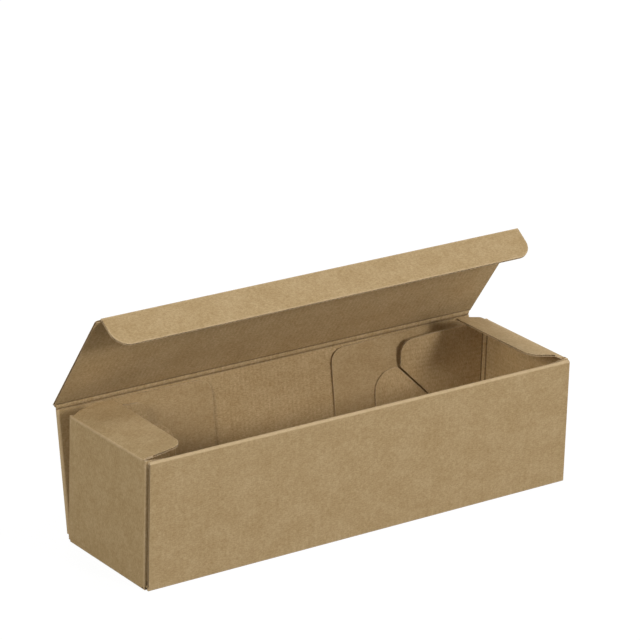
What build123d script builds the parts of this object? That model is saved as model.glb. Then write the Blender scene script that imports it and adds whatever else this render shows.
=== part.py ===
# Long shipping carton folded from a single die-cut sheet of thin corrugated board.
# Millimetres, +Z up. The origin is the centre of the bottom face, +X runs along the length
# and +Y points to the back wall, which carries the lid.
import os
from math import cos, radians, sin, sqrt, tan

from build123d import *

os.makedirs("parts", exist_ok=True)

# Overall sizes of the box with its lid closed
box_length = 340.0
box_width = 98.0
closed_height = 90.0

# The board, and the spaces that its layers and creases need
board = 1.6
layer_gap = 0.15
crease_gap = 0.3
lid_clearance = 0.3
score_width = 1.4
score_depth = 0.5

# How the box stands open
wall_lean = 10.2
lid_pitch = 55.9
tuck_fold = 90.0
tab_turn = 9.8

# Front and back walls, with the doubled ends of the back wall
wall_inset = 1.5
inner_inset = 2.5
panel_foot = 0.4
doubler_reach = 119.5
doubler_foot = 2.4
doubler_drop = 1.6
doubler_taper = 1.0
doubler_round = 10.0
doubler_foot_round = 4.0

# Corner tabs on the end walls, each with a gusset past its diagonal crease
tab_reach = 66.0
tab_foot = 6.0
tab_taper = 6.2
tab_setback = 1.55
diagonal_offset = 4.05
diagonal_gap = 0.9
nose_length = 21.0
nose_round = 16.0
gusset_foot = 3.2
gusset_taper = 4.0
gusset_round = 7.0

# Dust flaps on the end walls
dust_reach = 31.0
dust_front_space = 3.4
dust_back_space = 0.1
dust_taper = 1.0
dust_front_round = 8.0
dust_back_round = 5.0

# Lid and its tuck flap
lid_corner_round = 1.5
tuck_reach = 22.6
tuck_inset = 2.9
tuck_shift = 0.9
tuck_space = 0.4
tuck_round = 12.0

# Places worked out from those sizes
half_length = box_length / 2
half_board = board / 2
front_face = -box_width / 2
back_face = box_width / 2
ply = board + layer_gap
double_wall = board + ply
roll_radius = double_wall / 2
fold_round = 0.85 * board

end_top = closed_height - board - lid_clearance
wall_axis_y = back_face - half_board
wall_reach = closed_height - board
wall_end = half_length - wall_inset
wall_flat_end = wall_end - roll_radius
wall_flat_top = wall_reach - half_board - crease_gap

inner_face = front_face + double_wall
tab_face = inner_face + board
tuck_axis_y = tab_face + tuck_space + half_board
lid_reach = wall_axis_y - tuck_axis_y
lid_flat_end = lid_reach - half_board - crease_gap

tab_axis_x = half_length - half_board
tab_axis_y = back_face - double_wall - tab_setback - half_board
end_back = tab_axis_y - half_board - crease_gap

# Directions of the leaning wall, the open lid and the tuck flap
tuck_pitch = lid_pitch - tuck_fold
along = Vector(1, 0, 0)
wall_up = Vector(0, sin(radians(wall_lean)), cos(radians(wall_lean)))
lid_out = Vector(0, -cos(radians(lid_pitch)), sin(radians(lid_pitch)))
tuck_out = Vector(0, -cos(radians(tuck_pitch)), sin(radians(tuck_pitch)))
tab_out = Vector(-cos(radians(tab_turn)), sin(radians(tab_turn)), 0)

# Creases that the moving panels turn about
wall_axis = Vector(0, wall_axis_y, half_board)
lid_axis = wall_axis + wall_up * wall_reach
tuck_axis = lid_axis + lid_out * lid_reach

# Middle plane of each moving panel: x along the box or the tab, y away from the crease
# (up for the tab), and z towards the inside of the box (outwards for the tab)
wall_plane = Plane(origin=wall_axis, x_dir=along, z_dir=along.cross(wall_up))
lid_plane = Plane(origin=lid_axis, x_dir=along, z_dir=along.cross(lid_out))
tuck_plane = Plane(origin=tuck_axis, x_dir=along, z_dir=along.cross(tuck_out))
tab_plane = Plane(
    origin=(tab_axis_x, tab_axis_y, 0), x_dir=tab_out, z_dir=tab_out.cross(Vector(0, 0, 1))
)

# Corner tab and its gusset: heights are above the bottom face, reaches from the end wall.
# The gusset's nose starts where the diagonal crease meets the free edge of the tab.
tab_tip_top = end_top - tab_reach * tan(radians(tab_taper))
tab_diagonal = diagonal_offset - diagonal_gap / 2
gusset_diagonal = diagonal_offset + diagonal_gap / 2
nose_height = tab_reach - tab_diagonal
nose_reach = tab_reach + nose_length
tab_round = 0.54 * (tab_tip_top - nose_height)
gusset_start = gusset_foot + gusset_diagonal
gusset_tip_foot = gusset_foot + (nose_reach - gusset_start) * tan(radians(gusset_taper))

# Tray: bottom, doubled front wall, end walls and front corner tabs
with BuildPart() as tray:
    # Bottom, up to the crease of the back wall
    bottom_back = wall_axis_y - half_board - crease_gap
    with BuildSketch(Plane.XY):
        with Locations((0, front_face + board)):
            Rectangle(wall_end, bottom_back - front_face - board, align=Align.MIN)
    extrude(amount=board)

    # Front wall, rolled over at the rim into a full inner panel
    roll_height = end_top - roll_radius
    roll_middle = front_face + roll_radius
    inner_start = inner_face - board
    inner_foot = board + panel_foot
    fold_foot = (front_face, fold_round)
    fold_front = (front_face + fold_round, 0)
    with BuildSketch(Plane.YZ):
        with BuildLine():
            Line(fold_foot, (front_face, roll_height))
            ThreePointArc(
                (front_face, roll_height), (roll_middle, end_top), (inner_face, roll_height)
            )
            Polyline(
                (inner_face, roll_height),
                (inner_face, inner_foot),
                (inner_start, inner_foot),
                (inner_start, roll_height),
            )
            ThreePointArc(
                (inner_start, roll_height),
                (roll_middle, roll_height + layer_gap / 2),
                (front_face + board, roll_height),
            )
            Polyline((front_face + board, roll_height), (front_face + board, 0), fold_front)
            fold_middle = fold_round * (1 - sqrt(0.5))
            ThreePointArc(fold_front, (front_face + fold_middle, fold_middle), fold_foot)
        make_face()
    extrude(amount=wall_end)

    # Inner panel, shorter than the outer one a little below the rim
    with Locations((wall_end, (inner_start + inner_face) / 2, inner_foot)):
        Box(
            inner_inset,
            board,
            roll_height - inner_foot - inner_inset,
            align=(Align.MAX, Align.CENTER, Align.MIN),
            mode=Mode.SUBTRACT,
        )

    # End wall, with rounded folds to the bottom, the front corner tab and the dust flap
    with BuildSketch(Plane.YZ.offset(half_length - board)) as end_outline:
        with Locations((inner_face, 0)):
            Rectangle(end_back - inner_face, end_top, align=Align.MIN)
    extrude(amount=board)
    end_face = faces().sort_by(Axis.X)[-1]
    fillet(end_face.edges().sort_by(Axis.Y)[:-1], fold_round)

    # Front corner tab and gusset in one plane, glued to the inner panel
    front_tab_plane = Plane.XZ.offset(-tab_face)
    with BuildSketch(front_tab_plane) as front_tab_outline:
        Polygon(
            (tab_axis_x, tab_foot),
            (tab_axis_x - gusset_start, gusset_foot),
            (tab_axis_x - nose_reach, gusset_tip_foot),
            (tab_axis_x - nose_reach, nose_height),
            (tab_axis_x - tab_reach, nose_height),
            (tab_axis_x - tab_reach, tab_tip_top),
            (tab_axis_x, end_top),
            align=None,
        )
        nose = vertices().group_by(Axis.X)[0].sort_by(Axis.Y)
        fillet(nose[-1], nose_round)
        fillet(vertices().group_by(Axis.X)[0].sort_by(Axis.Y)[0], gusset_round)
        fillet(vertices().sort_by_distance((tab_axis_x - tab_reach, tab_tip_top))[0], tab_round)
    extrude(amount=board)

    # Crease pressed into its diagonal
    score_middle = (tab_foot + nose_height) / 2
    with BuildSketch(front_tab_plane):
        with Locations((tab_axis_x - diagonal_offset - score_middle, score_middle)):
            Rectangle(sqrt(2) * (nose_height - tab_foot), score_width, rotation=-45)
    extrude(amount=score_depth, mode=Mode.SUBTRACT)
    mirror(about=Plane.YZ)
tray.part.label = "tray"
export_step(tray.part, "parts/tray.step")

# Dust flap of the right end wall, folded inwards at its top
with BuildPart() as right_dust_flap:
    dust_front = tab_face + dust_front_space
    dust_back = end_back - dust_back_space
    dust_shrink = dust_reach * tan(radians(dust_taper))
    dust_tip = half_length - dust_reach
    with BuildSketch(Plane.XY.offset(end_top - board)) as dust_outline:
        Polygon(
            (half_length - board, dust_front),
            (half_length - board, dust_back),
            (dust_tip, dust_back - dust_shrink),
            (dust_tip, dust_front),
            align=None,
        )
        fillet(vertices().group_by(Axis.X)[0].sort_by(Axis.Y)[0], dust_front_round)
        fillet(vertices().group_by(Axis.X)[0].sort_by(Axis.Y)[-1], dust_back_round)
    extrude(amount=board)
right_dust_flap.part.label = "right_dust_flap"
export_step(right_dust_flap.part, "parts/right_dust_flap.step")

# Dust flap of the left end wall
with BuildPart() as left_dust_flap:
    mirror(right_dust_flap.part, about=Plane.YZ)
left_dust_flap.part.label = "left_dust_flap"
export_step(left_dust_flap.part, "parts/left_dust_flap.step")

# Back wall: leaning panel with its ends folded back and a gusset glued in each corner
with BuildPart() as back_wall:
    # Panel, rounded about its crease with the bottom
    with BuildSketch(wall_plane):
        Rectangle(wall_flat_end, wall_flat_top, align=Align.MIN)
    extrude(amount=half_board, both=True)
    with BuildSketch(Plane(origin=wall_axis, x_dir=wall_up, z_dir=along)):
        Circle(half_board)
    extrude(amount=wall_flat_end)

    # Round fold at the end of the panel
    doubler_top = wall_flat_top - doubler_drop
    with BuildSketch(Plane(origin=wall_axis + wall_up * doubler_foot, x_dir=along, z_dir=wall_up)):
        with Locations((wall_flat_end, -ply / 2)):
            Circle(roll_radius)
            Circle(layer_gap / 2, mode=Mode.SUBTRACT)
            Rectangle(
                roll_radius,
                double_wall,
                align=(Align.MIN, Align.CENTER),
                mode=Mode.INTERSECT,
            )
    extrude(amount=doubler_top - doubler_foot)

    # Doubler, which lies against the inside of the panel
    doubler_run = doubler_reach - roll_radius
    doubler_shrink = doubler_run * tan(radians(doubler_taper))
    with BuildSketch(wall_plane.offset(half_board + layer_gap)) as doubler_outline:
        Polygon(
            (wall_flat_end, doubler_foot),
            (wall_flat_end, doubler_top),
            (wall_flat_end - doubler_run, doubler_top - doubler_shrink),
            (wall_flat_end - doubler_run, doubler_foot + doubler_shrink),
            align=None,
        )
        fillet(vertices().group_by(Axis.X)[0].sort_by(Axis.Y)[-1], doubler_round)
        fillet(vertices().group_by(Axis.X)[0].sort_by(Axis.Y)[0], doubler_foot_round)
    extrude(amount=board)

    # Gusset below the diagonal crease, glued to the doubler, with a rounded nose
    with BuildSketch(wall_plane.offset(half_board + ply)) as gusset_outline:
        Polygon(
            (tab_axis_x - gusset_start, gusset_foot - half_board),
            (tab_axis_x - nose_reach, gusset_tip_foot - half_board),
            (tab_axis_x - nose_reach, nose_height - half_board),
            (tab_axis_x - nose_height - gusset_diagonal, nose_height - half_board),
            align=None,
        )
        fillet(vertices().group_by(Axis.X)[0].sort_by(Axis.Y)[-1], nose_round)
        fillet(vertices().group_by(Axis.X)[0].sort_by(Axis.Y)[0], gusset_round)
    extrude(amount=board)
    mirror(about=Plane.YZ)
back_wall.part.label = "back_wall"
export_step(back_wall.part, "parts/back_wall.step")

# Rear corner tab on the right end wall, above the diagonal crease
with BuildPart() as rear_right_tab:
    with BuildSketch(tab_plane) as tab_outline:
        Polygon(
            (0, tab_foot),
            (tab_foot + tab_diagonal, tab_foot),
            (tab_reach, tab_reach - tab_diagonal),
            (tab_reach, tab_tip_top),
            (0, end_top),
            align=None,
        )
        fillet(vertices().group_by(Axis.X)[-1].sort_by(Axis.Y)[-1], tab_round)
    extrude(amount=half_board, both=True)
    with BuildSketch(Plane(origin=(tab_axis_x, tab_axis_y, tab_foot))):
        Circle(half_board)
    extrude(amount=end_top - tab_foot)
rear_right_tab.part.label = "rear_right_tab"
export_step(rear_right_tab.part, "parts/rear_right_tab.step")

# Rear corner tab on the left end wall
with BuildPart() as rear_left_tab:
    mirror(rear_right_tab.part, about=Plane.YZ)
rear_left_tab.part.label = "rear_left_tab"
export_step(rear_left_tab.part, "parts/rear_left_tab.step")

# Lid: flat panel, rounded about its crease with the back wall
with BuildPart() as lid:
    with BuildSketch(lid_plane) as lid_outline:
        Rectangle(box_length, lid_flat_end, align=(Align.CENTER, Align.MIN))
        fillet(vertices().group_by(Axis.Y)[-1], lid_corner_round)
    extrude(amount=half_board, both=True)
    with BuildSketch(Plane(origin=lid_axis, x_dir=lid_out, z_dir=along)):
        Circle(half_board)
    extrude(amount=half_length, both=True)
lid.part.label = "lid"
export_step(lid.part, "parts/lid.step")

# Tuck flap: strip with large round corners, folded square to the lid
with BuildPart() as tuck_flap:
    tuck_length = box_length - 2 * tuck_inset
    with BuildSketch(tuck_plane) as tuck_outline:
        with Locations((tuck_shift, 0)):
            Rectangle(tuck_length, tuck_reach, align=(Align.CENTER, Align.MIN))
        fillet(vertices().group_by(Axis.Y)[-1], tuck_round)
    extrude(amount=half_board, both=True)
    with BuildSketch(Plane(origin=tuck_axis + along * tuck_shift, x_dir=tuck_out, z_dir=along)):
        Circle(half_board)
    extrude(amount=tuck_length / 2, both=True)
tuck_flap.part.label = "tuck_flap"
export_step(tuck_flap.part, "parts/tuck_flap.step")
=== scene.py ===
import math

import bpy
import numpy as np
from mathutils import Matrix, Vector


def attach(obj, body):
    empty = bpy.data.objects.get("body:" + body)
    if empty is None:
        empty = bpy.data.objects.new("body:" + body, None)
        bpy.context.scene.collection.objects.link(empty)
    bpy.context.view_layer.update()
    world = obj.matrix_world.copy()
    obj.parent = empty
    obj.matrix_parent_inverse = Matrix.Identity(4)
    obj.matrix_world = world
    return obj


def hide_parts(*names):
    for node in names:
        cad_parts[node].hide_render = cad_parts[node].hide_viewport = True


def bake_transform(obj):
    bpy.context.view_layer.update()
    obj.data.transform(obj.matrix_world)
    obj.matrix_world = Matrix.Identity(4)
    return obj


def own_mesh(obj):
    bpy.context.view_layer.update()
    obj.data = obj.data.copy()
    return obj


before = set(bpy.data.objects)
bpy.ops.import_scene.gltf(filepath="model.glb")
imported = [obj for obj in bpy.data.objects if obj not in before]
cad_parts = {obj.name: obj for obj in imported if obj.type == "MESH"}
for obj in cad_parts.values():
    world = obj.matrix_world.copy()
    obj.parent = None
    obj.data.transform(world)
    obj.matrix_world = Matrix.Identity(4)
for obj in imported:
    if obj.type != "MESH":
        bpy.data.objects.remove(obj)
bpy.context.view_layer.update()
print("frame loaded")

# Sizes of the folded box in millimetres and degrees, as in the CAD part
box = {
    "length": 340.0,
    "width": 98.0,
    "height": 90.0,
    "board": 1.6,
    "layerGap": 0.15,
    "creaseReach": 1.1,  # from a crease's axis to where its flat panel starts
    "lidClearance": 0.3,
    "tuckClearance": 0.4,  # between the closed tuck flap and the front corner tabs
    "endInset": 1.5,  # the long walls stop short of the end walls' outer faces
    "wallLean": 10.2,
    "lidOpening": 45.7,
    "tuckFold": 90.0,
    "tabTurn": 9.8,
    "tabSetback": 1.55,
}
halfLength = box["length"] / 2
board = box["board"]
halfBoard = board / 2
ply = board + box["layerGap"]
rollRadius = (board + ply) / 2
reach = box["creaseReach"]
frontFace = -box["width"] / 2
backFace = box["width"] / 2
innerFace = frontFace + board + ply
endTop = box["height"] - board - box["lidClearance"]
endPlane = halfLength - halfBoard
wallEnd = halfLength - box["endInset"]
wallFlatEnd = wallEnd - rollRadius
tabAxisY = backFace - board - ply - box["tabSetback"] - halfBoard
endBack = tabAxisY - reach


def direction(x, y, z):
    return np.array([x, y, z], float)


def tilted(angle):
    # unit vector in the end view, turned by angle from straight up towards the back
    return direction(0, math.sin(math.radians(angle)), math.cos(math.radians(angle)))


alongX = direction(1, 0, 0)
alongY = direction(0, 1, 0)
alongZ = direction(0, 0, 1)
wallReach = box["height"] - board
lidReach = (backFace - halfBoard) - (innerFace + board + box["tuckClearance"] + halfBoard)
lidPitch = box["wallLean"] + box["lidOpening"]
wallUp = tilted(box["wallLean"])
lidOut = tilted(lidPitch - 90)
tuckOut = tilted(lidPitch - 90 - box["tuckFold"])
wallAxis = direction(0, backFace - halfBoard, halfBoard)
lidAxis = wallAxis + wallUp * wallReach
tuckAxis = lidAxis + lidOut * lidReach

# Liner, raw edge and flute finishes; fineness is how many cells of its noise a metre holds
kraft = {
    "outside": {"tone": (0.490, 0.346, 0.174), "fluteShade": 0.014, "grain": 0.62, "speck": 0.48},
    "inside": {"tone": (0.530, 0.376, 0.190), "fluteShade": 0.036, "grain": 0.80, "speck": 0.60},
    # lighter liner for rubbed edges, also the painted highlight along crease ridges and the rolled
    # rim
    "rubAndHighlight": (0.66, 0.50, 0.30),
    "cutEdge": {"tone": (0.62, 0.47, 0.28), "contrast": 0.16, "fineness": 2200.0},
    "medium": {"tone": (0.44, 0.32, 0.18), "contrast": 0.18, "fineness": 1400.0},
    "pitch": 3.3,
    "specular": 0.22,
    "paleShift": (1.0, 1.26, 1.85),  # kraft pales as it brightens: powers for its three channels
}

# Noises of the liner: scale per millimetre across and along the flutes, shift, detail, roughness
linerNoise = {
    "wander": ((0.05, 0.02), (0.0, 0.0), 1.0, 0.5),  # how the flutes stray sideways
    "strength": ((0.03, 0.05), (31.0, 5.0), 2.0, 0.5),  # where they show through
    "fibre": ((0.42, 1.5), (0.0, 0.0), 4.0, 0.66),
    "crossFibre": ((1.3, 0.5), (7.0, 3.0), 3.0, 0.66),
    "cloud": ((0.045, 0.06), (0.0, 0.0), 3.0, 0.55),
    "patch": ((0.22, 0.26), (0.0, 0.0), 3.0, 0.6),
    "speck": ((0.62, 0.85), (3.0, 11.0), 2.5, 0.6),
}

# How strongly each of them shows; a ramp has two ends, and what it gives there if not 0 and 1
liner = {
    "stray": 1.2,
    "fibreShare": 0.65,
    "grainRamp": (0.38, 0.62),
    "grainDark": 0.80,
    "grainLight": 1.16,
    "mottleRamp": (0.34, 0.66, 0.925, 1.075),
    "strengthRamp": (0.3, 0.7, 0.35, 1.0),
    "darkSpeck": 0.45,
    "darkSpeckRamp": (0.60, 0.78),
    "lightSpeck": 1.35,
    "lightSpeckRamp": (0.40, 0.22),
    "lightSpeckShare": 0.8,
    "raggedness": 0.9,
    # lightening of rubbed edges and of the painted highlight on crease ridges and the rim
    "rubAndHighlightRamp": (0.30, 1.15),
    "rubAndHighlightShare": 0.6,
    # painted shade in the pressed lines beside a crease
    "grooveShadeRamp": (-0.05, -0.8),
    "grooveShadeShare": 0.62,
    "grooveShadeTone": (0.24, 0.22, 0.20),
    "fluteRelief": 0.55,
    "relief": {"fibre": 0.016, "cloud": 0.35},
    "bumpStrength": 0.8,
    "bumpDistance": 0.001,
    "roughness": 0.81,
    "roughSpread": 0.1,
}

# Cut or fluted paper, the same in all directions
rawPaper = {
    "fine": (4.0, 0.65),  # detail and roughness of the noise
    "coarser": 9,  # how much wider the second noise is
    "fineShare": 0.6,
    "toneRamp": (0.35, 0.65),
    "bumpStrength": 0.5,
    "bumpDistance": 0.0001,
    "roughRamp": (0.2, 0.8, 0.86, 0.98),
}


class NodeMaker:
    # shorthand for building a node tree: add a node, set its inputs, link what it reads
    def __init__(self, tree):
        self.tree = tree

    def add(self, kind, values=None, **settings):
        node = self.tree.nodes.new(kind)
        for key, value in settings.items():
            setattr(node, key, value)
        for key, value in (values or {}).items():
            socket = node.inputs[key]
            if isinstance(value, bpy.types.NodeSocket):
                self.tree.links.new(value, socket)
            else:
                socket.default_value = value
        return node

    def math(self, operation, a, b=0.0, clamp=False):
        node = self.add("ShaderNodeMath", {0: a, 1: b}, operation=operation)
        node.use_clamp = clamp
        return node.outputs[0]

    def ramp(self, value, low, high, outLow=0.0, outHigh=1.0):
        node = self.add(
            "ShaderNodeMapRange",
            {
                "Value": value,
                "From Min": low,
                "From Max": high,
                "To Min": outLow,
                "To Max": outHigh,
            },
            interpolation_type="SMOOTHSTEP",
        )
        return node.outputs["Result"]

    def noise(self, vector, detail=2.0, roughness=0.5):
        node = self.add(
            "ShaderNodeTexNoise",
            {"Vector": vector, "Scale": 1.0, "Detail": detail, "Roughness": roughness},
        )
        return node.outputs["Fac"]

    def blended(self, a, b, share):
        first, second = self.math("MULTIPLY", a, share), self.math("MULTIPLY", b, 1 - share)
        return self.math("ADD", first, second)

    def bump(self, height, look):
        values = {
            "Height": height,
            "Strength": look["bumpStrength"],
            "Distance": look["bumpDistance"],
        }
        return self.add("ShaderNodeBump", values).outputs["Normal"]

    def stretched(self, vector, scale, shift=(0, 0, 0)):
        node = self.add("ShaderNodeMapping", {"Vector": vector, "Scale": scale, "Location": shift})
        return node.outputs["Vector"]

    def tint(self, factor, a, b, blend="MIX"):
        node = self.add("ShaderNodeMix", data_type="RGBA", blend_type=blend)
        sockets = {"Factor": node.inputs[0], "A": node.inputs[6], "B": node.inputs[7]}
        for key, value in (("Factor", factor), ("A", a), ("B", b)):
            if isinstance(value, bpy.types.NodeSocket):
                self.tree.links.new(value, sockets[key])
            else:
                sockets[key].default_value = value
        return node.outputs[2]


def newMaterial(name):
    material = bpy.data.materials.new(name)
    material.use_nodes = True
    material.node_tree.nodes.clear()
    return material, NodeMaker(material.node_tree)


def finishMaterial(make, colour, roughness, normal):
    shader = make.add(
        "ShaderNodeBsdfPrincipled",
        {
            "Base Color": colour,
            "Roughness": roughness,
            "Normal": normal,
            "Specular IOR Level": kraft["specular"],
        },
    )
    make.add("ShaderNodeOutputMaterial", {"Surface": shader.outputs["BSDF"]})


def relit(tone, factor):
    # a tone made brighter or darker, paler as it brightens
    powers = kraft["paleShift"]
    return tuple(min(1.0, channel * factor**power) for channel, power in zip(tone, powers))


def linerMaterial(name, look):
    # kraft liner: fibres, specks, mottling, washboard lines over the flutes, rubbed edges, painted
    # highlight along crease ridges and the rolled rim, painted shade in the pressed lines beside
    # creases
    material, make = newMaterial(name)
    uv = make.add("ShaderNodeUVMap", uv_map="board").outputs["UV"]
    flat = make.stretched(uv, (1000.0, 1000.0, 1.0))  # in millimetres: x across the flutes
    # per vertex: above 0 rubbing and painted highlight, below 0 painted shade
    wear = make.add("ShaderNodeAttribute", attribute_name="wear").outputs["Fac"]
    noise = {}
    for kind, (scale, shift, detail, roughness) in linerNoise.items():
        place = make.stretched(flat, (*scale, 1.0), shift=(*shift, 0.0))
        noise[kind] = make.noise(place, detail, roughness)

    acrossFlutes = make.add("ShaderNodeSeparateXYZ", {"Vector": flat}).outputs["X"]
    phase = make.math("MULTIPLY", acrossFlutes, 2 * math.pi / kraft["pitch"])
    stray = make.math("MULTIPLY", noise["wander"], liner["stray"])
    wave = make.math("SINE", make.math("ADD", phase, stray))

    tone = look["tone"]
    grainy = make.blended(noise["fibre"], noise["crossFibre"], liner["fibreShare"])
    dark, light = relit(tone, liner["grainDark"]), relit(tone, liner["grainLight"])
    colour = make.tint(make.ramp(grainy, *liner["grainRamp"]), (*dark, 1.0), (*light, 1.0))
    colour = make.tint(look["grain"], (*tone, 1.0), colour)

    mottle = make.blended(noise["cloud"], noise["patch"], 0.5)
    shade = make.ramp(mottle, *liner["mottleRamp"])
    depth = make.ramp(noise["strength"], *liner["strengthRamp"])
    depth = make.math("MULTIPLY", depth, look["fluteShade"])
    lines = make.math("ADD", 1.0, make.math("MULTIPLY", wave, depth))
    shade = make.math("MULTIPLY", shade, lines)
    red, green, blue = (make.math("POWER", shade, power) for power in kraft["paleShift"])
    cast = make.add("ShaderNodeCombineXYZ", {"X": red, "Y": green, "Z": blue}).outputs["Vector"]
    colour = make.tint(1.0, colour, cast, "MULTIPLY")

    darkSpeck = make.ramp(noise["speck"], *liner["darkSpeckRamp"])
    darkSpeck = make.math("MULTIPLY", darkSpeck, look["speck"])
    colour = make.tint(darkSpeck, colour, (*relit(tone, liner["darkSpeck"]), 1.0))
    lightSpeck = make.ramp(noise["speck"], *liner["lightSpeckRamp"])
    lightSpeck = make.math("MULTIPLY", lightSpeck, look["speck"] * liner["lightSpeckShare"])
    colour = make.tint(lightSpeck, colour, (*relit(tone, liner["lightSpeck"]), 1.0))

    # rubbed cut edges, and painted highlight where crease ridges and the rolled rim catch the light
    uneven = make.math("SUBTRACT", noise["patch"], 0.5)
    ragged = make.math("ADD", wear, make.math("MULTIPLY", uneven, liner["raggedness"]))
    rubAndHighlight = make.math("MULTIPLY", make.ramp(ragged, *liner["rubAndHighlightRamp"]), liner["rubAndHighlightShare"])
    colour = make.tint(rubAndHighlight, colour, (*kraft["rubAndHighlight"], 1.0))
    # negative values paint shade into the pressed lines beside a crease
    grooveShadeMask = make.math("MULTIPLY", make.ramp(wear, *liner["grooveShadeRamp"]), liner["grooveShadeShare"])
    grooveShadeColour = (channel * share for channel, share in zip(tone, liner["grooveShadeTone"]))
    colour = make.tint(grooveShadeMask, colour, (*grooveShadeColour, 1.0))

    height = make.math("MULTIPLY", wave, make.math("MULTIPLY", depth, liner["fluteRelief"]))
    for kind, share in liner["relief"].items():
        height = make.math("ADD", height, make.math("MULTIPLY", noise[kind], share))
    bump = make.bump(height, liner)
    rougher = make.math("MULTIPLY", noise["fibre"], liner["roughSpread"])
    finishMaterial(make, colour, make.math("ADD", liner["roughness"], rougher), bump)
    return material


def fibreMaterial(name, look):
    # cut or fluted paper: rough, fibrous, no liner face
    material, make = newMaterial(name)
    place = make.add("ShaderNodeTexCoord").outputs["Object"]
    fine = make.noise(make.stretched(place, (look["fineness"],) * 3), *rawPaper["fine"])
    coarse = make.noise(make.stretched(place, (look["fineness"] / rawPaper["coarser"],) * 3))
    mixed = make.blended(fine, coarse, rawPaper["fineShare"])
    low = tuple(channel * (1 - look["contrast"]) for channel in look["tone"])
    high = tuple(min(1.0, channel * (1 + look["contrast"])) for channel in look["tone"])
    colour = make.tint(make.ramp(mixed, *rawPaper["toneRamp"]), (*low, 1.0), (*high, 1.0))
    rough = make.ramp(fine, *rawPaper["roughRamp"])
    finishMaterial(make, colour, rough, make.bump(fine, rawPaper))
    return material


boardMaterials = [
    linerMaterial("kraft_outside", kraft["outside"]),
    linerMaterial("kraft_inside", kraft["inside"]),
    fibreMaterial("kraft_cut_edge", kraft["cutEdge"]),
    fibreMaterial("kraft_flutes", kraft["medium"]),
]
outsideSlot, insideSlot, edgeSlot, fluteSlot = range(4)
print("materials made")


# Cut edges of the board, where the fluted middle shows between its liners
flutes = {
    "pitch": kraft["pitch"],
    "waveHeight": 0.47,
    "depth": 0.9,
    "thickness": 0.17,
    "step": 0.42,
    "liner": 0.24,
}


def fluteTree():
    tree = bpy.data.node_groups.new("cutFlutes", "GeometryNodeTree")
    face = tree.interface
    face.new_socket("Edges", in_out="INPUT", socket_type="NodeSocketGeometry")
    for name in ("Pitch", "Wave Height", "Depth", "Thickness", "Step"):
        face.new_socket(name, in_out="INPUT", socket_type="NodeSocketFloat")
    face.new_socket("Across", in_out="INPUT", socket_type="NodeSocketVector")
    face.new_socket("Paper", in_out="INPUT", socket_type="NodeSocketMaterial")
    face.new_socket("Flutes", in_out="OUTPUT", socket_type="NodeSocketGeometry")
    make = NodeMaker(tree)
    given = make.add("NodeGroupInput").outputs
    line = make.add("GeometryNodeMeshToCurve", {"Mesh": given["Edges"]}).outputs["Curve"]
    line = make.add(
        "GeometryNodeResampleCurve", {"Curve": line, "Length": given["Step"]}, mode="LENGTH"
    ).outputs["Curve"]
    place = make.add("GeometryNodeInputPosition").outputs[0]
    across = make.add(
        "ShaderNodeVectorMath", {0: place, 1: given["Across"]}, operation="DOT_PRODUCT"
    ).outputs["Value"]
    turns = make.math("DIVIDE", across, given["Pitch"])
    wave = make.math("SINE", make.math("MULTIPLY", turns, 2 * math.pi))
    rise = make.add(
        "ShaderNodeCombineXYZ", {"Z": make.math("MULTIPLY", wave, given["Wave Height"])}
    ).outputs[0]
    line = make.add("GeometryNodeSetPosition", {"Geometry": line, "Offset": rise}).outputs[0]
    line = make.add("GeometryNodeSetCurveNormal", {"Curve": line}, mode="Z_UP").outputs[0]
    section = make.add(
        "GeometryNodeCurvePrimitiveQuadrilateral",
        {"Width": given["Depth"], "Height": given["Thickness"]},
    ).outputs[0]
    strip = make.add(
        "GeometryNodeCurveToMesh", {"Curve": line, "Profile Curve": section, "Fill Caps": True}
    ).outputs[0]
    strip = make.add("GeometryNodeRealizeInstances", {"Geometry": strip}).outputs[0]
    painted = {"Geometry": strip, "Material": given["Paper"]}
    strip = make.add("GeometryNodeSetMaterial", painted).outputs[0]
    make.add("NodeGroupOutput", {"Flutes": strip})
    return tree


cutFlutes = fluteTree()


def fluteMesh(points, edges, across):
    # runs the tree on the free edges of one panel, in its own flat place
    line = bpy.data.meshes.new("cutLine")
    line.from_pydata([(x, y, 0.0) for x, y in points], edges, [])
    holder = bpy.data.objects.new("cutLine", line)
    bpy.context.scene.collection.objects.link(holder)
    modifier = holder.modifiers.new("cutFlutes", "NODES")
    modifier.node_group = cutFlutes
    inputs = {
        "Pitch": flutes["pitch"],
        "Wave Height": flutes["waveHeight"],
        "Depth": flutes["depth"],
        "Thickness": flutes["thickness"],
        "Step": flutes["step"],
        "Across": (across[0], across[1], 0.0),
        "Paper": boardMaterials[fluteSlot],
    }
    for item in cutFlutes.interface.items_tree:
        if item.in_out == "INPUT" and item.name in inputs:
            modifier[item.identifier] = inputs[item.name]
    graph = bpy.context.evaluated_depsgraph_get()
    made = bpy.data.meshes.new_from_object(holder.evaluated_get(graph))
    vertices = np.array([v.co[:] for v in made.vertices], float).reshape(-1, 3)
    faces = [tuple(p.vertices) for p in made.polygons]
    bpy.data.objects.remove(holder)
    bpy.data.meshes.remove(line)
    bpy.data.meshes.remove(made)
    return vertices, faces


# How finely curves are divided, and the angle from which two faces meet in a sharp edge
rounding = {"leastSteps": 4, "stepLength": 1.2, "rollSteps": 14, "sharpAngle": 35.0}


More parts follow.
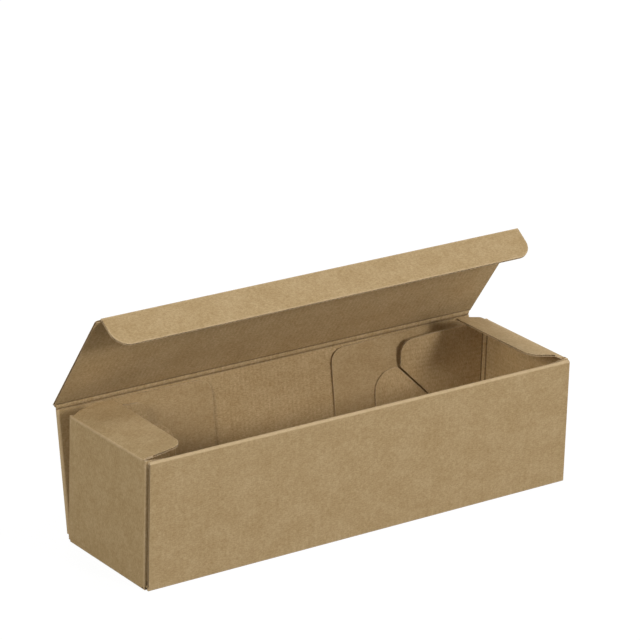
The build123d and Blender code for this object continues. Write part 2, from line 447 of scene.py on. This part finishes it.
class Sheet:
    # one piece of board: vertices in millimetres, faces with a finish, and their place on the board
    def __init__(self):
        self.vertices, self.wear, self.spots = [], [], []
        self.faces, self.slots = [], []

    def add(self, vertices, spots, wear, faces, slots):
        first = len(self.vertices)
        self.vertices.extend(tuple(v) for v in vertices)
        self.spots.extend(tuple(s) for s in spots)
        self.wear.extend(wear)
        self.faces.extend(tuple(first + i for i in f) for f in faces)
        self.slots.extend(slots)

    def piece(self, name):
        mesh = bpy.data.meshes.new(name)
        mesh.from_pydata([tuple(c / 1000 for c in v) for v in self.vertices], [], self.faces)
        for material in boardMaterials:
            mesh.materials.append(material)
        mesh.polygons.foreach_set("material_index", self.slots)
        layer = mesh.uv_layers.new(name="board")
        spots = np.array(self.spots, float) / 1000
        corners = np.empty(len(mesh.loops), int)
        mesh.loops.foreach_get("vertex_index", corners)
        layer.data.foreach_set("uv", spots[corners].ravel())
        # per vertex: above 0 rubbing and painted highlight, below 0 painted shade
        wearAndLightValues = mesh.attributes.new("wear", "FLOAT", "POINT")
        wearAndLightValues.data.foreach_set("value", np.array(self.wear, np.float32))
        mesh.update()
        mesh.shade_smooth()
        mesh.set_sharp_from_angle(angle=math.radians(rounding["sharpAngle"]))
        piece = bpy.data.objects.new(name, mesh)
        bpy.context.scene.collection.objects.link(piece)
        return piece


class Place:
    # where a flat panel lies: origin in the middle of its board, x and y in it, z to the inside
    def __init__(self, origin, x, y, inside):
        self.origin, self.axes = np.array(origin, float), np.array([x, y, inside], float)
        self.mirrored = np.linalg.det(self.axes) < 0

    def put(self, points):
        return self.origin + np.array(points, float) @ self.axes

    def shifted(self, depth):
        return Place(self.origin + self.axes[2] * depth, *self.axes)


def outline(corners):
    # corners as (x, y, radius, cut): cut says that the edge to the next corner is a raw one
    area = sum(a[0] * b[1] - b[0] * a[1] for a, b in zip(corners, corners[1:] + corners[:1]))
    if area < 0:
        cuts = [c[3] for c in corners]
        corners = [(*c[:3], cuts[i - 1]) for i, c in enumerate(corners)][::-1]
    points, cut = [], []
    for i, (x, y, radius, cutNext) in enumerate(corners):
        cutBefore = corners[i - 1][3]
        if radius <= 0:
            points.append((x, y))
            cut.append(cutNext)
            continue
        here = np.array([x, y])
        before = np.array(corners[i - 1][:2]) - here
        after = np.array(corners[(i + 1) % len(corners)][:2]) - here
        before, after = before / np.linalg.norm(before), after / np.linalg.norm(after)
        half = math.acos(np.clip(before @ after, -1, 1)) / 2
        bisector = (before + after) / np.linalg.norm(before + after)
        centre = here + bisector * radius / math.sin(half)
        start = here + before * radius / math.tan(half) - centre
        end = here + after * radius / math.tan(half) - centre
        first = math.atan2(start[1], start[0])
        sweep = (math.atan2(end[1], end[0]) - first + math.pi) % (2 * math.pi) - math.pi
        steps = max(rounding["leastSteps"], round(abs(sweep) * radius / rounding["stepLength"]))
        for k in range(steps + 1):
            angle = first + sweep * k / steps
            points.append(centre + radius * np.array([math.cos(angle), math.sin(angle)]))
            cut.append(cutNext if k == steps else cutBefore or cutNext)
    return np.array(points), np.array(cut)


# How the die rounds a cut edge, and how far in from it the liner is rubbed
crushed = {
    "drop": 0.10,
    "edgeBand": 0.35,
    "wornBand": 1.1,
    "wear": 0.35,  # of the edge band, and how much it gains in a wider one
    "bandWear": 0.2,
    "sharpest": 0.35,  # keeps the bands in place at pointed corners
    "foldInside": 0.4,  # share of a fold's rubbing and painted highlight that its inside gets
}


def addPanel(sheet, place, corners, across=(1, 0), turned=False, spotShift=(0, 0), band=1.0):
    # flat board with crushed cut edges; turned puts its outside liner on the inside of the box,
    # spotShift moves its grain, band widens the rubbed band along its cut edges
    points, cut = outline(corners)
    n = len(points)
    step = np.roll(points, -1, 0) - points
    step /= np.linalg.norm(step, axis=1)[:, None]
    normal = np.stack([-step[:, 1], step[:, 0]], 1)
    before = np.roll(normal, 1, 0)
    miter = (normal + before) / (1 + (normal * before).sum(1))[:, None].clip(crushed["sharpest"])
    wearAndLightValues = (cut & np.roll(cut, 1)).astype(float)
    drop = crushed["drop"] * wearAndLightValues
    rubAndHighlight = wearAndLightValues * (crushed["wear"] + crushed["bandWear"] * band)
    surface = np.full(n, halfBoard)
    under = np.full(n, halfBoard - flutes["liner"])
    top = [
        (crushed["wornBand"] * band, surface, wearAndLightValues * 0),
        (crushed["edgeBand"] * band, surface, rubAndHighlight),
        (0.0, surface - drop, wearAndLightValues),
        (0.0, under, wearAndLightValues),
        (flutes["depth"], under, wearAndLightValues * 0),
    ]
    rings = top + [(inset, -height, wear) for inset, height, wear in reversed(top)]
    inside, outside = (outsideSlot, insideSlot) if turned else (insideSlot, outsideSlot)
    edge = [edgeSlot, edgeSlot]
    bandSlots = [inside, inside, *edge, fluteSlot, *edge, outside, outside]
    vertices, wear, flat = [], [], []
    for inset, height, ringWear in rings:
        ring = points + miter * inset
        flat.extend(ring)
        vertices.extend(np.column_stack([ring, height]))
        wear.extend(ringWear)
    faces, slots = [], []
    for k, slotHere in enumerate(bandSlots):
        for i in range(n):
            j = (i + 1) % n
            faces.append((k * n + i, (k + 1) * n + i, (k + 1) * n + j, k * n + j))
            slots.append(slotHere)
    last = len(bandSlots) * n
    faces += [tuple(range(n)), tuple(last + i for i in reversed(range(n)))]
    slots += [inside, outside]
    if place.mirrored:
        faces = [f[::-1] for f in faces]
    flat = np.array(flat)
    across = np.array(across, float)
    along = np.array([-across[1], across[0]])
    spots = np.stack([flat @ across + spotShift[0], flat @ along + spotShift[1]], 1)
    sheet.add(place.put(vertices), spots, wear, faces, slots)
    if not cut.any():
        return
    middle = points + miter * flutes["depth"] / 2
    edges = [(i, (i + 1) % n) for i in range(n) if cut[i]]
    bits, bitFaces = fluteMesh(middle, edges, across)
    if place.mirrored:
        bitFaces = [f[::-1] for f in bitFaces]
    spots = np.stack([bits[:, :2] @ across, bits[:, :2] @ along], 1)
    sheet.add(place.put(bits), spots, [0.0] * len(bits), bitFaces, [fluteSlot] * len(bitFaces))


def sweptFaces(loop, along):
    # walls between two copies of a closed section, then its two end caps
    count = len(loop)
    faces = [(k, (k + 1) % count, count + (k + 1) % count, count + k) for k in range(count)]
    faces += [tuple(range(count))[::-1], tuple(count + k for k in range(count))]
    middle = loop.mean(0)
    turns = np.cross(loop - middle, np.roll(loop, -1, 0) - middle).sum(0) @ along
    return [f[::-1] for f in faces] if turns < 0 else faces


def addStrip(sheet, outer, inner, along, span, wear, acrossAlong=True, far=None, spread=None):
    # folded board: outer and inner lines of its section, swept along the crease; far is the
    # section at the other end where it differs, spread how much wider it grows from start to end
    ends = ((outer, inner), far or (outer, inner))
    loops = [np.array([*lineOut, *lineIn[::-1]], float) for lineOut, lineIn in ends]
    loop = loops[0]
    outerCount, innerCount = len(outer), len(inner)
    walked = np.concatenate([[0], np.linalg.norm(np.diff(loop, axis=0), axis=1).cumsum()])
    walked[outerCount:] = walked[outerCount - 1] - (walked[outerCount:] - walked[outerCount])
    grown = np.zeros(len(loop))
    if spread:
        grown[:outerCount] = np.linspace(*spread, outerCount)
        grown[outerCount:] = np.linspace(*spread, innerCount)[::-1]
    vertices, spots = [], []
    for distance, section in zip(span, loops):
        outward = math.copysign(1, distance) * grown
        vertices.extend(section + np.outer(distance + outward, along))
        spots.extend((distance, gone) if acrossAlong else (gone, distance) for gone in walked)
    wearAndLightValues = [0.0, *[wear] * (outerCount - 2), 0.0]
    wearAndLightValues += [0.0, *[wear * crushed["foldInside"]] * (innerCount - 2), 0.0]
    slots = [outsideSlot] * (outerCount - 1) + [edgeSlot]
    slots += [insideSlot] * (innerCount - 1) + [edgeSlot] * 3
    sheet.add(vertices, spots, wearAndLightValues * 2, sweptFaces(loop, along), slots)


# The ridge that the creasing rule raises on the inside of a fold, between two pressed lines; the
# lines are darkened with painted shade, the ridge lightened with rubbing and painted highlight
bead = {
    "steps": 8,
    "reach": 1.85,
    "bulge": 0.42,
    "roundness": 0.6,
    "lift": 0.06,
    "sunk": 0.25,
    "lip": 0.9,  # width of the pressed line beside the ridge
    "lipLift": 0.03,
    # the ridge: rubbed, and lightened as painted highlight
    "wear": 0.5,
    # negative values: painted shade at the ridge's feet and in the pressed lines
    "footPaintedShade": -0.3,
    "groovePaintedShade": -1.0,
    "rimPaintedShade": -0.4,
    "spotWidth": 3.0,
    "spotShift": 5.0,
}
# the rounded outside of a crease: rubbed, and lightened as painted highlight
fold = {"steps": 8, "wear": 0.8}


def addBead(sheet, corner, along, toA, toB, inside, span, acrossAlong, size):
    start, end = corner + toA * bead["reach"] * size, corner + toB * bead["reach"] * size
    lipStart, lipEnd = start + toA * bead["lip"] * size, end + toB * bead["lip"] * size
    sunk, lipLift = inside * bead["sunk"], inside * bead["lipLift"]
    top = []
    for k in range(bead["steps"] + 1):
        t = k / bead["steps"]
        bulge = inside * bead["bulge"] * size * math.sin(math.pi * t) ** bead["roundness"]
        top.append(start * (1 - t) + end * t + bulge + inside * bead["lift"])
    section = [lipStart - sunk, lipStart + lipLift, *top, lipEnd + lipLift, lipEnd - sunk]
    loop = np.array([*section, corner - sunk], float)
    # painted shade along the pressed lines, rubbing and painted highlight on the ridge
    flank = [bead["rimPaintedShade"], bead["rimPaintedShade"], bead["groovePaintedShade"], bead["footPaintedShade"]]
    ridge = [bead["wear"]] * (len(section) - 2 * len(flank))
    wearAndLightValues = [*flank, *ridge, *flank[::-1], bead["rimPaintedShade"]]
    walked = bead["spotShift"] + np.linspace(0, bead["spotWidth"], len(loop))
    vertices = [v for distance in span for v in loop + along * distance]
    spots = [(d, w) if acrossAlong else (w, d) for d in span for w in walked]
    faces = sweptFaces(loop, along)
    sheet.add(vertices, spots, wearAndLightValues * 2, faces, [insideSlot] * len(faces))


def addFold(
    sheet,
    axis,
    along,
    toA,
    toB,
    span,
    acrossAlong=True,
    wear=fold["wear"],
    spread=None,
    ridge=1.0,
    ridgeSpan=None,
):
    # crease between two panels: round on the outside, with a pressed ridge on the inside
    axis, along = np.array(axis, float), np.array(along, float)
    inside = (toA + toB) / np.linalg.norm(toA + toB)
    insideA = inside - toA * (inside @ toA)
    insideB = inside - toB * (inside @ toB)
    insideA, insideB = insideA / np.linalg.norm(insideA), insideB / np.linalg.norm(insideB)
    bend = math.acos(np.clip(insideA @ insideB, -1, 1))
    corner = axis + inside * halfBoard / math.cos(bend / 2)
    startIn = axis + toA * reach + insideA * halfBoard
    endIn = axis + toB * reach + insideB * halfBoard
    outer, inner = [axis + toA * reach - insideA * halfBoard], []
    for k in range(fold["steps"] + 1):
        t = k / fold["steps"]
        turn = math.sin((1 - t) * bend) * insideA + math.sin(t * bend) * insideB
        outer.append(axis - turn / math.sin(bend) * halfBoard)
        inner.append(startIn * (1 - t) ** 2 + corner * 2 * t * (1 - t) + endIn * t**2)
    outer.append(axis + toB * reach - insideB * halfBoard)
    # the outside is lighter: rubbing and painted highlight
    addStrip(sheet, outer, inner, along, span, wear, acrossAlong, spread=spread)
    if ridge:
        ridgeSpan = ridgeSpan or span
        addBead(sheet, corner, along, toA, toB, inside, ridgeSpan, acrossAlong, ridge)


def addRoll(sheet, centre, along, start, side, span, acrossAlong=True):
    # board turned right back on itself: from start, round by way of side, to the opposite of start
    outer, inner = [], []
    for k in range(rounding["rollSteps"] + 1):
        angle = math.pi * k / rounding["rollSteps"]
        turn = start * math.cos(angle) + side * math.sin(angle)
        outer.append(centre + turn * rollRadius)
        inner.append(centre + turn * box["layerGap"] / 2)
    # the rim is lightened all round: rubbing and painted highlight along its top
    addStrip(sheet, outer, inner, along, span, 1.0, acrossAlong)


# Tray: bottom, rolled front wall, end walls and front corner tabs
tray = {
    "rollHeight": endTop - rollRadius,
    "panelFoot": 2.0,
    "tabReach": 66.0,
    "tabFoot": 6.0,
    "tabTaper": 6.2,
    "tabRound": 10.0,
    "diagonal": 4.05,  # how far from the corner the diagonal crease starts
    "diagonalGap": 0.9,
    "noseReach": 87.0,
    "noseHeight": 62.4,
    "noseRound": 16.0,
    "gussetFoot": 3.2,
    "gussetTaper": 4.0,
    "gussetRound": 7.0,
    "innerInset": 2.5,
    "ridgeStop": 25.0,  # below the top, where the closed tuck flap fills the front corners
}
tabTipTop = endTop - tray["tabReach"] * math.tan(math.radians(tray["tabTaper"]))
gussetStart = tray["gussetFoot"] + tray["diagonal"] + tray["diagonalGap"] / 2
gussetTipFoot = tray["gussetFoot"] + (tray["noseReach"] - gussetStart) * math.tan(
    math.radians(tray["gussetTaper"])
)
frontPlane = frontFace + halfBoard
tabPlaneFront = innerFace + halfBoard
bottomBack = backFace - halfBoard - reach
dust = {
    "reach": 31.0,
    "frontGap": 2.6,  # to the front corner tabs, where the closing tuck flap passes
    "backGap": 0.1,
    "taper": 1.0,
    "frontRound": 8.0,
    "backRound": 5.0,
    "spring": 15.0,  # how far its crease stays open
    "bend": 7.5,  # from the crease to where the flap runs straight
    "bendSteps": 10,
    "bendStart": 1.25,  # how much steeper than the crease it starts
    "bendWear": 0.1,
    "rise": {  # over the crease, at the bend and at the tip, front and back
        "left": {"front": (1.2, 4.4), "back": (3.2, 6.4)},
        "right": {"front": (3.2, 8.0), "back": (3.2, 8.0)},
    },
}
dustFront, dustBack = innerFace + board + dust["frontGap"], endBack - dust["backGap"]

traySheet = Sheet()
bottomEnd = endPlane - reach
addPanel(
    traySheet,
    Place((0, 0, halfBoard), alongX, alongY, alongZ),
    [
        (-bottomEnd, frontPlane + reach, 0, False),
        (bottomEnd, frontPlane + reach, 0, False),
        (bottomEnd, bottomBack, 0, False),
        (-bottomEnd, bottomBack, 0, False),
    ],
)
addFold(traySheet, (0, frontPlane, halfBoard), alongX, alongY, alongZ, (-wallEnd, wallEnd))
rollHeight, panelFoot = tray["rollHeight"], tray["panelFoot"]
addPanel(
    traySheet,
    Place((0, frontPlane, 0), alongX, alongZ, alongY),
    [
        (-wallEnd, halfBoard + reach, 0, False),
        (wallEnd, halfBoard + reach, 0, True),
        (wallEnd, rollHeight, 0, False),
        (-wallEnd, rollHeight, 0, True),
    ],
    band=2.4,
)
innerEnd, shoulder = wallEnd - tray["innerInset"], rollHeight - tray["innerInset"]
addPanel(
    traySheet,
    Place((0, frontPlane + ply, 0), alongX, alongZ, alongY),
    [
        (-innerEnd, panelFoot, 0, True),
        (innerEnd, panelFoot, 0, True),
        (innerEnd, shoulder, 0, True),
        (wallEnd, shoulder, 0, True),
        (wallEnd, rollHeight, 0, False),
        (-wallEnd, rollHeight, 0, True),
        (-wallEnd, shoulder, 0, True),
        (-innerEnd, shoulder, 0, True),
    ],
    turned=True,
    spotShift=(0, 190.0),
)
rollCentre = direction(0, frontFace + rollRadius, rollHeight)
addRoll(traySheet, rollCentre, alongX, -alongY, alongZ, (-wallEnd, wallEnd))

spring = math.radians(dust["spring"])
for side in (-1, 1):
    endWall = Place((side * endPlane, 0, 0), alongY, alongZ, -side * alongX)
    foldTop = endTop - halfBoard - reach
    addPanel(
        traySheet,
        endWall,
        [
            (tabPlaneFront + reach, halfBoard + reach, 0, False),
            (endBack, halfBoard + reach, 0, False),
            (endBack, foldTop, 0, False),
            (dustFront, foldTop, 0, False),
            (dustFront, endTop, 0, True),
            (tabPlaneFront + reach, endTop, 0, False),
        ],
        across=(0, 1),
        spotShift=(side * 60.0, side * 400.0),
    )
    inward = -side * alongX
    endFoot, endSpan = (side * endPlane, 0, halfBoard), (tabPlaneFront - halfBoard, endBack)
    addFold(traySheet, endFoot, alongY, inward, alongZ, endSpan, acrossAlong=False)
    addFold(
        traySheet,
        (side * endPlane, tabPlaneFront, 0),
        alongZ,
        alongY,
        inward,
        (halfBoard, endTop),
        ridgeSpan=(board, endTop - tray["ridgeStop"]),
    )
    # the flap crease's outside is lightened at full wear: rubbed ridge and painted highlight
    addFold(
        traySheet,
        (side * endPlane, 0, endTop - halfBoard),
        alongY,
        -alongZ,
        inward * math.cos(spring) + alongZ * math.sin(spring),
        (dustFront, dustBack),
        acrossAlong=False,
        wear=1.0,
        ridge=0,
    )
    addPanel(
        traySheet,
        Place((side * endPlane, tabPlaneFront, 0), inward, alongZ, alongY),
        [
            (reach, tray["tabFoot"], 0, True),
            (gussetStart, tray["gussetFoot"], 0, True),
            (tray["noseReach"], gussetTipFoot, tray["gussetRound"], True),
            (tray["noseReach"], tray["noseHeight"], tray["noseRound"], True),
            (tray["tabReach"], tray["noseHeight"], 0, True),
            (tray["tabReach"], tabTipTop, tray["tabRound"], True),
            (reach, endTop, 0, False),
        ],
        across=(0, 1),
        spotShift=(side * 33.0, side * 210.0),
    )
trayBoard = traySheet.piece("tray_board")
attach(trayBoard, "tray")
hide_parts("tray")
print("tray folded")


# Dust flaps, sprung up a little from their creases; a closing lid would press them flat
def flapSection(side, rises):
    # outer and inner line of the curved root, from the crease to where the flap runs straight
    run = dust["reach"] - halfBoard - dust["bend"]
    startSlope, endSlope = dust["bendStart"] * math.tan(spring), (rises[1] - rises[0]) / run
    first = reach * np.array([math.cos(spring), math.sin(spring)])
    span = dust["bend"] - first[0]
    outer, inner = [], []
    for k in range(dust["bendSteps"] + 1):
        # cubic between two heights with a slope given at each end, and how steep it is
        t = k / dust["bendSteps"]
        up = (1 + 2 * t) * (1 - t) ** 2 * first[1] + t * t * (3 - 2 * t) * rises[0]
        up += t * (1 - t) ** 2 * span * startSlope + t * t * (t - 1) * span * endSlope
        tilt = 6 * t * (t - 1) * (first[1] - rises[0]) / span
        tilt += (1 - t) * (1 - 3 * t) * startSlope + t * (3 * t - 2) * endSlope
        if k == 0:
            tilt = math.tan(spring)
        middle = direction(side * (endPlane - first[0] - t * span), 0, endTop - halfBoard + up)
        square = direction(side * tilt, 0, 1) / math.hypot(tilt, 1)
        outer.append(middle + square * halfBoard)
        inner.append(middle - square * halfBoard)
    return outer, inner


for side, name in ((-1, "left"), (1, "right")):
    flapSheet = Sheet()
    inward = -side * alongX
    rise = dust["rise"][name]
    sections = [flapSection(side, rise[at]) for at in ("front", "back")]
    flapSpan = (dustFront, dustBack)
    addStrip(
        flapSheet,
        *sections[0],
        alongY,
        flapSpan,
        dust["bendWear"],
        acrossAlong=False,
        far=sections[1],
    )
    corners = [(o[-1] + i[-1]) / 2 + alongY * y for (o, i), y in zip(sections, flapSpan)]
    run = dust["reach"] - halfBoard - dust["bend"]
    flapOut = inward * run + alongZ * (rise["front"][1] - rise["front"][0])
    length = np.linalg.norm(flapOut)
    flapOut = flapOut / length
    flapBack = (corners[1] - corners[0]) / (flapSpan[1] - flapSpan[0])
    flapDown = np.cross(flapBack, flapOut) * -side
    flapDown = flapDown / np.linalg.norm(flapDown)
    shrink = run * math.tan(math.radians(dust["taper"]))
    addPanel(
        flapSheet,
        Place(corners[0] - flapBack * flapSpan[0], flapOut, flapBack, flapDown),
        [
            (0, dustFront, 0, True),
            (length, dustFront, dust["frontRound"], True),
            (length, dustBack - shrink, dust["backRound"], True),
            (0, dustBack, 0, False),
        ],
        spotShift=(9.0, side * 77.0),
    )
    flap = flapSheet.piece(name + "_dust_flap_board")
    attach(flap, "tray")
    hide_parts(name + "_dust_flap")
    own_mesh(flap)
print("dust flaps raised")

# Back wall with its ends folded back and the gussets glued on them
backWall = {
    "flatTop": wallReach - reach,
    "doublerReach": 119.5,
    "doublerFoot": 2.4,
    "doublerDrop": 1.6,
    "doublerTaper": 1.0,
    "doublerRound": 10.0,
    "doublerFootRound": 4.0,
}
wallInward = np.cross(alongX, wallUp)
wallPlace = Place(wallAxis, alongX, wallUp, wallInward)
wallSheet = Sheet()
addPanel(
    wallSheet,
    wallPlace,
    [
        (-wallFlatEnd, reach, 0, False),
        (wallFlatEnd, reach, 0, False),
        (wallFlatEnd, backWall["flatTop"], 0, False),
        (-wallFlatEnd, backWall["flatTop"], 0, False),
    ],
    spotShift=(0, 520.0),
)
doublerTop = backWall["flatTop"] - backWall["doublerDrop"]
doublerRun = backWall["doublerReach"] - rollRadius
doublerShrink = doublerRun * math.tan(math.radians(backWall["doublerTaper"]))
for side in (-1, 1):
    addRoll(
        wallSheet,
        wallAxis + alongX * side * wallFlatEnd + wallInward * ply / 2,
        wallUp,
        -wallInward,
        side * alongX,
        (backWall["doublerFoot"], doublerTop),
        acrossAlong=False,
    )
    tip, foot = wallFlatEnd - doublerRun, backWall["doublerFoot"]
    addPanel(
        wallSheet,
        wallPlace.shifted(ply),
        [
            (side * wallFlatEnd, foot, 0, False),
            (side * wallFlatEnd, doublerTop, 0, True),
            (side * tip, doublerTop - doublerShrink, backWall["doublerRound"], True),
            (side * tip, foot + doublerShrink, backWall["doublerFootRound"], True),
        ],
        turned=True,
        spotShift=(side * 1.2, 640.0),
    )
    gussetTop = tray["noseHeight"] - halfBoard
    gussetSlope = tray["diagonal"] + tray["diagonalGap"] / 2
    nose = endPlane - tray["noseReach"]
    addPanel(
        wallSheet,
        wallPlace.shifted(ply + board),
        [
            (side * (endPlane - gussetStart), tray["gussetFoot"] - halfBoard, 0, True),
            (side * nose, gussetTipFoot - halfBoard, tray["gussetRound"], True),
            (side * nose, gussetTop, tray["noseRound"], True),
            (side * (endPlane - tray["noseHeight"] - gussetSlope), gussetTop, 0, True),
        ],
        across=(0, 1),
        spotShift=(side * 2.1, side * 300.0),
    )
wallBoard = wallSheet.piece("back_wall_board")
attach(wallBoard, "back_wall")
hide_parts("back_wall")
print("back wall folded")

# Rear corner tabs, turned out with the leaning wall, and their upright creases
for side, name in ((-1, "left"), (1, "right")):
    turn = math.radians(box["tabTurn"])
    tabOut = direction(-side * math.cos(turn), math.sin(turn), 0)
    tabIn = direction(-side * math.sin(turn), -math.cos(turn), 0)
    tabAxis = direction(side * endPlane, tabAxisY, 0)
    tabSlope = tray["diagonal"] - tray["diagonalGap"] / 2
    tabSheet = Sheet()
    addPanel(
        tabSheet,
        Place(tabAxis, tabOut, alongZ, tabIn),
        [
            (reach, tray["tabFoot"], 0, True),
            (tray["tabFoot"] + tabSlope, tray["tabFoot"], 0, True),
            (tray["tabReach"], tray["tabReach"] - tabSlope, 0, True),
            (tray["tabReach"], tabTipTop, tray["tabRound"], True),
            (reach, endTop - reach * math.tan(math.radians(tray["tabTaper"])), 0, False),
        ],
        across=(0, 1),
        spotShift=(side * 1.4, side * 120.0),
    )
    tabBoard = tabSheet.piece("rear_" + name + "_tab_board")
    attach(tabBoard, "rear_" + name + "_tab")
    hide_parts("rear_" + name + "_tab")
    creaseSheet = Sheet()
    addFold(creaseSheet, tabAxis, alongZ, -alongY, tabOut, (board, endTop))
    crease = creaseSheet.piece(name + "_tab_crease_strip")
    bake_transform(crease)
print("corner tabs turned")

# Lid, tuck flap and the long creases
lid = {
    "cornerRound": 1.5,
    "tuckReach": 22.6,
    "tuckInset": 2.9,
    "tuckShift": 0.9,
    "tuckRound": 12.0,
    "tuckRidge": 0.3,
}
lidInward = np.cross(alongX, lidOut)
lidSheet = Sheet()
addPanel(
    lidSheet,
    Place(lidAxis, alongX, lidOut, lidInward),
    [
        (-halfLength, reach, 0, False),
        (halfLength, reach, 0, True),
        (halfLength, lidReach - reach, lid["cornerRound"], False),
        (-halfLength, lidReach - reach, lid["cornerRound"], True),
    ],
    spotShift=(0, 900.0),
)
lidBoard = lidSheet.piece("lid_board")
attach(lidBoard, "lid")
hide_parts("lid")

tuckSheet = Sheet()
tuckLeft = -halfLength + lid["tuckInset"] + lid["tuckShift"]
tuckRight = halfLength - lid["tuckInset"] + lid["tuckShift"]
addPanel(
    tuckSheet,
    Place(tuckAxis, alongX, tuckOut, np.cross(alongX, tuckOut)),
    [
        (tuckLeft, reach, 0, False),
        (tuckRight, reach, 0, True),
        (tuckRight, lid["tuckReach"], lid["tuckRound"], True),
        (tuckLeft, lid["tuckReach"], lid["tuckRound"], True),
    ],
    spotShift=(0, 1100.0),
    band=1.8,
)
tuckBoard = tuckSheet.piece("tuck_flap_board")
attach(tuckBoard, "tuck_flap")
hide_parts("tuck_flap")

wallSpan, lidSpan = (-wallFlatEnd, wallFlatEnd), (-wallEnd, wallEnd)
tuckSpan = (tuckLeft, tuckRight)
widening = (0, box["endInset"])  # the lid is longer than the wall that carries it
longCreases = (
    ("wall", wallAxis, -alongY, wallUp, "tray", "back_wall", wallSpan, None, 1.0),
    ("lid", lidAxis, -wallUp, lidOut, "back_wall", "lid", lidSpan, widening, 1.0),
    ("tuck", tuckAxis, -lidOut, tuckOut, "lid", "tuck_flap", tuckSpan, None, lid["tuckRidge"]),
)
for name, axis, toA, toB, bodyA, bodyB, span, spread, ridge in longCreases:
    creaseSheet = Sheet()
    addFold(creaseSheet, axis, alongX, toA, toB, span, spread=spread, ridge=ridge)
    crease = creaseSheet.piece(name + "_crease_strip")
    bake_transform(crease)
print("lid and creases made")

# Camera, at the photograph's place and angle
view = {
    "place": (-1.34186, -1.82576, 0.99006),
    "right": (0.812885, -0.581717, 0.028670),
    "down": (-0.183864, -0.303015, -0.935081),
    "ahead": (0.552640, 0.754842, -0.353273),
    "focal": 3703.4,  # in pixels, as the image width
    "imageWidth": 640,
    "sensorWidth": 36.0,
    "farEnd": 20.0,
}
cameraData = bpy.data.cameras.new("camera")
cameraData.sensor_width = view["sensorWidth"]
cameraData.lens = view["focal"] / view["imageWidth"] * cameraData.sensor_width
cameraData.clip_end = view["farEnd"]
camera = bpy.data.objects.new("camera", cameraData)
bpy.context.scene.collection.objects.link(camera)
columns = (Vector(view["right"]), -Vector(view["down"]), -Vector(view["ahead"]))
camera.matrix_world = Matrix.Translation(view["place"]) @ Matrix(columns).transposed().to_4x4()
bpy.context.scene.camera = camera

# Floor, white surroundings and soft lamps
studio = {
    "floorReach": 6,
    "floorDrop": 0.0002,
    "floorTone": (0.28, 0.28, 0.28),
    "floorGlow": 0.92,  # share of plain white that the camera sees in the floor
    "whiteness": 1.04,
    "white": (1.0, 1.0, 1.0, 1.0),
    "worldLight": (0.19, 0.19, 0.19),
    "lamps": (  # name, place, aimed at, size, watts, colour
        ("keyLamp", (0.7, -2.3, 1.15), (0.0, 0.0, 0.08), 0.6, 26.4, (1.0, 0.985, 0.985)),
        ("topLamp", (1.3, -0.6, 2.2), (0.0, 0.0, 0.08), 0.8, 15.0, (0.95, 1.0, 1.10)),
        ("leftLamp", (-2.2, -0.7, 1.2), (0.0, 0.0, 0.08), 0.9, 26.5, (1.0, 0.98, 0.93)),
        ("lowLamp", (1.2, -2.0, 0.35), (0.0, 0.0, 0.10), 0.6, 4.0, (1.0, 1.0, 1.0)),
        ("backLamp", (0.9, 2.3, 1.3), (0.0, 0.0, 0.08), 1.0, 30.0, (1.0, 1.0, 1.0)),
    ),
}


def seenDirectly(make):
    # 1 for what the camera sees, in a reflection or through something clear as well
    rays = make.add("ShaderNodeLightPath").outputs
    seen = make.math("ADD", rays["Is Camera Ray"], rays["Is Glossy Ray"], clamp=True)
    return make.math("ADD", seen, rays["Is Transmission Ray"], clamp=True)


floorReach, floorDrop = studio["floorReach"], studio["floorDrop"]
floorCorners = ((-1, -1), (1, -1), (1, 1), (-1, 1))
floorMesh = bpy.data.meshes.new("floor")
floorMesh.from_pydata(
    [(x * floorReach, y * floorReach, -floorDrop) for x, y in floorCorners], [], [(0, 1, 2, 3)]
)
floor = bpy.data.objects.new("floor", floorMesh)
bpy.context.scene.collection.objects.link(floor)
floorMaterial, make = newMaterial("pale_floor")
seen = seenDirectly(make)
pale = make.tint(seen, (*studio["floorTone"], 1.0), studio["white"])
matte = make.add("ShaderNodeBsdfDiffuse", {"Color": pale})
shine = {"Color": studio["white"], "Strength": studio["whiteness"]}
glow = make.add("ShaderNodeEmission", shine)
share = make.math("MULTIPLY", seen, studio["floorGlow"])
mixed = make.add("ShaderNodeMixShader", {0: share, 1: matte.outputs[0], 2: glow.outputs[0]})
make.add("ShaderNodeOutputMaterial", {"Surface": mixed.outputs[0]})
floorMesh.materials.append(floorMaterial)

world = bpy.data.worlds.new("studio")
world.use_nodes = True
world.node_tree.nodes.clear()
make = NodeMaker(world.node_tree)
level = make.tint(seenDirectly(make), (*studio["worldLight"], 1.0), studio["white"])
sky = make.add("ShaderNodeBackground", {"Color": level, "Strength": 1.0})
make.add("ShaderNodeOutputWorld", {"Surface": sky.outputs[0]})
bpy.context.scene.world = world

for name, place, target, size, watts, colour in studio["lamps"]:
    lampData = bpy.data.lights.new(name, "AREA")
    lampData.shape = "DISK"
    lampData.size = size
    lampData.energy = watts
    lampData.color = colour
    lamp = bpy.data.objects.new(name, lampData)
    bpy.context.scene.collection.objects.link(lamp)
    lamp.location = place
    lamp.rotation_euler = (Vector(target) - Vector(place)).to_track_quat("-Z", "Y").to_euler()

bpy.context.scene.view_settings.view_transform = "Standard"
print("studio set")
